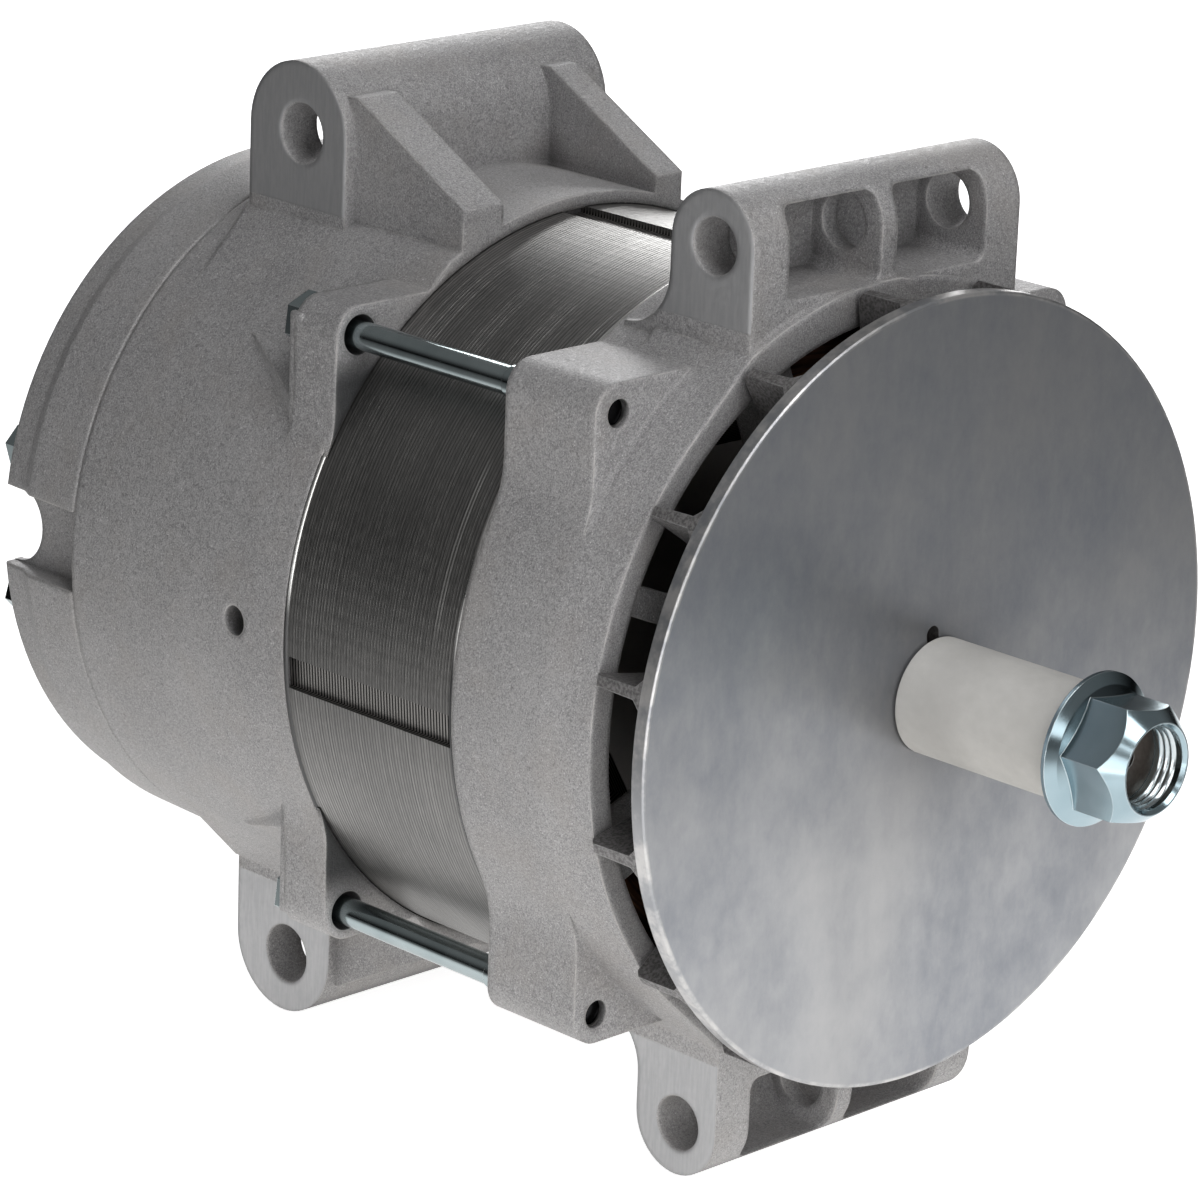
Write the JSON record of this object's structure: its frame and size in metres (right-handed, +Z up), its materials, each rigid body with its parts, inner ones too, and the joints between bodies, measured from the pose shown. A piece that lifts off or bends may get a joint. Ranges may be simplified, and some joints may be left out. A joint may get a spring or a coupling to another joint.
{
  "type": "engine alternator",
  "caption": "Heavy-duty engine alternator with cast end housings, bored through lugs, a front fan disc, a keyed shaft with sleeve and flange nut, and a cupped rear cover.",
  "frame": {"origin": "on the shaft axis, in the plane of the front face of the fan disc where a pulley seats", "axes": "-Y along the shaft out of the drive end, +Z up, X along the lug bores"},
  "size_m": [0.19, 0.307, 0.2454],
  "materials": {
    "drive_end_housing": "sand cast",
    "rear_housing": "sand cast",
    "rear_cover": "sand cast",
    "stator_core": "laminated",
    "stator_windings": "enamelled",
    "through_bolts": "zinc plated",
    "fan": "machined",
    "shaft": "ground",
    "fan_key": "plain",
    "pulley_key": "plain",
    "shipping_sleeve": "matt",
    "flange_nut": "zinc plated",
    "drive_spacer": "turned",
    "drive_bearing_inner_race": "ground",
    "drive_bearing_outer_race": "ground",
    "drive_bearing_balls": "polished",
    "drive_bearing_cage": "pressed",
    "bearing_retainer": "pressed",
    "retainer_screws": "zinc plated",
    "front_pole_half": "forged and turned",
    "rear_pole_half": "forged and turned",
    "rotor_coil": "enamelled",
    "coil_bobbin": "moulded",
    "rear_bearing_inner_race": "ground",
    "rear_bearing_outer_race": "ground",
    "rear_bearing_balls": "polished",
    "rear_bearing_cage": "pressed",
    "slip_rings": "turned",
    "slip_ring_insulator": "moulded",
    "brush_holder": "moulded",
    "brush_holder_screws": "zinc plated",
    "front_brush": "pressed carbon",
    "rear_brush": "pressed carbon",
    "front_brush_spring": "rolled",
    "rear_brush_spring": "rolled",
    "negative_heat_sink": "milled",
    "positive_heat_sink": "finned",
    "rectifier_diodes": "tinned",
    "rectifier_screws": "zinc plated",
    "heat_sink_insulators": "moulded",
    "phase_leads": "tinned",
    "voltage_regulator": "moulded",
    "regulator_screws": "zinc plated",
    "output_stud": "plated",
    "output_insulator": "moulded",
    "terminal_nuts": "zinc plated",
    "ground_stud": "zinc plated",
    "cover_bolts": "zinc plated"
  },
  "bodies": {
    "stator": {"drive_end_housing": "drive_end_housing", "rear_housing": "rear_housing", "rear_cover": "rear_cover", "stator_core": "stator_core", "stator_windings": "stator_windings", "through_bolts": "through_bolts", "drive_bearing_outer_race": "drive_bearing_outer_race", "bearing_retainer": "bearing_retainer", "retainer_screws": "retainer_screws", "rear_bearing_outer_race": "rear_bearing_outer_race", "brush_holder": "brush_holder", "brush_holder_screws": "brush_holder_screws", "front_brush_spring": "front_brush_spring", "rear_brush_spring": "rear_brush_spring", "negative_heat_sink": "negative_heat_sink", "positive_heat_sink": "positive_heat_sink", "rectifier_diodes": "rectifier_diodes", "rectifier_screws": "rectifier_screws", "heat_sink_insulators": "heat_sink_insulators", "phase_leads": "phase_leads", "voltage_regulator": "voltage_regulator", "regulator_screws": "regulator_screws", "output_stud": "output_stud", "output_insulator": "output_insulator", "terminal_nuts": "terminal_nuts", "ground_stud": "ground_stud", "cover_bolts": "cover_bolts"},
    "rotor": {"fan": "fan", "shaft": "shaft", "fan_key": "fan_key", "pulley_key": "pulley_key", "shipping_sleeve": "shipping_sleeve", "flange_nut": "flange_nut", "drive_spacer": "drive_spacer", "drive_bearing_inner_race": "drive_bearing_inner_race", "front_pole_half": "front_pole_half", "rear_pole_half": "rear_pole_half", "rotor_coil": "rotor_coil", "coil_bobbin": "coil_bobbin", "rear_bearing_inner_race": "rear_bearing_inner_race", "slip_rings": "slip_rings", "slip_ring_insulator": "slip_ring_insulator"},
    "drive_ball_set": {"drive_bearing_balls": "drive_bearing_balls", "drive_bearing_cage": "drive_bearing_cage"},
    "rear_ball_set": {"rear_bearing_balls": "rear_bearing_balls", "rear_bearing_cage": "rear_bearing_cage"},
    "front_brush_body": {"front_brush": "front_brush"},
    "rear_brush_body": {"rear_brush": "rear_brush"}
  },
  "joints": [
    {"name": "rotor_spin", "type": "hinge", "parent": "stator", "child": "rotor", "pos_m": [0, 0, 0], "axis": [0, 1, 0], "continuous": true},
    {"name": "drive_cage_turn", "type": "hinge", "parent": "stator", "child": "drive_ball_set", "pos_m": [0, 0, 0], "axis": [0, 1, 0], "continuous": true},
    {"name": "rear_cage_turn", "type": "hinge", "parent": "stator", "child": "rear_ball_set", "pos_m": [0, 0, 0], "axis": [0, 1, 0], "continuous": true},
    {"name": "front_brush_slide", "type": "slide", "parent": "stator", "child": "front_brush_body", "axis": [0, 0, 1], "range_m": [0, 0.004], "stiffness_N_per_m": 250, "springref_m": -0.01, "deforming": ["front_brush_spring"]},
    {"name": "rear_brush_slide", "type": "slide", "parent": "stator", "child": "rear_brush_body", "axis": [0, 0, 1], "range_m": [0, 0.004], "stiffness_N_per_m": 250, "springref_m": -0.01, "deforming": ["rear_brush_spring"]}
  ],
  "couplings": [
    {"joint": "drive_cage_turn", "follows": "rotor_spin", "ratio": 0.3736},
    {"joint": "rear_cage_turn", "follows": "rotor_spin", "ratio": 0.3688}
  ]
}
